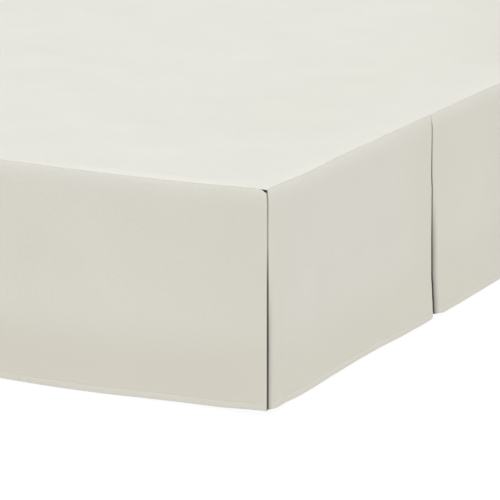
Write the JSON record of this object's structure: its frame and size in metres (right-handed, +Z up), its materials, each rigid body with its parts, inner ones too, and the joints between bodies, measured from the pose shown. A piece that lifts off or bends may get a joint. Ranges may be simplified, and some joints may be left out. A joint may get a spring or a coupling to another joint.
{
  "type": "bed skirt on box spring",
  "caption": "Tailored bed skirt with a flat deck and straight drops in closed inverted pleats, fitted over a plain box spring on a steel frame with legs.",
  "frame": {"origin": "on the floor, midway along and across the bed", "axes": "+Y from the foot to the head; +X to the right as seen from the foot; +Z up"},
  "size_m": [1.3732, 1.9045, 0.3638],
  "materials": {
    "skirt_cloth": "matt brushed microfibre, warm ivory",
    "ticking": "plain woven ticking, pale grey",
    "steel": "satin black powder coat"
  },
  "bodies": {
    "root": {"deck": "skirt_cloth", "drop_foot": "skirt_cloth", "drop_left": "skirt_cloth", "drop_right": "skirt_cloth", "box_spring": "ticking", "side_rail_left": "steel", "side_rail_right": "steel", "cross_rail_foot": "steel", "cross_rail_middle": "steel", "cross_rail_head": "steel", "leg_foot_left": "steel", "leg_foot_right": "steel", "leg_middle_left": "steel", "leg_middle_right": "steel", "leg_head_left": "steel", "leg_head_right": "steel"}
  },
  "joints": []
}
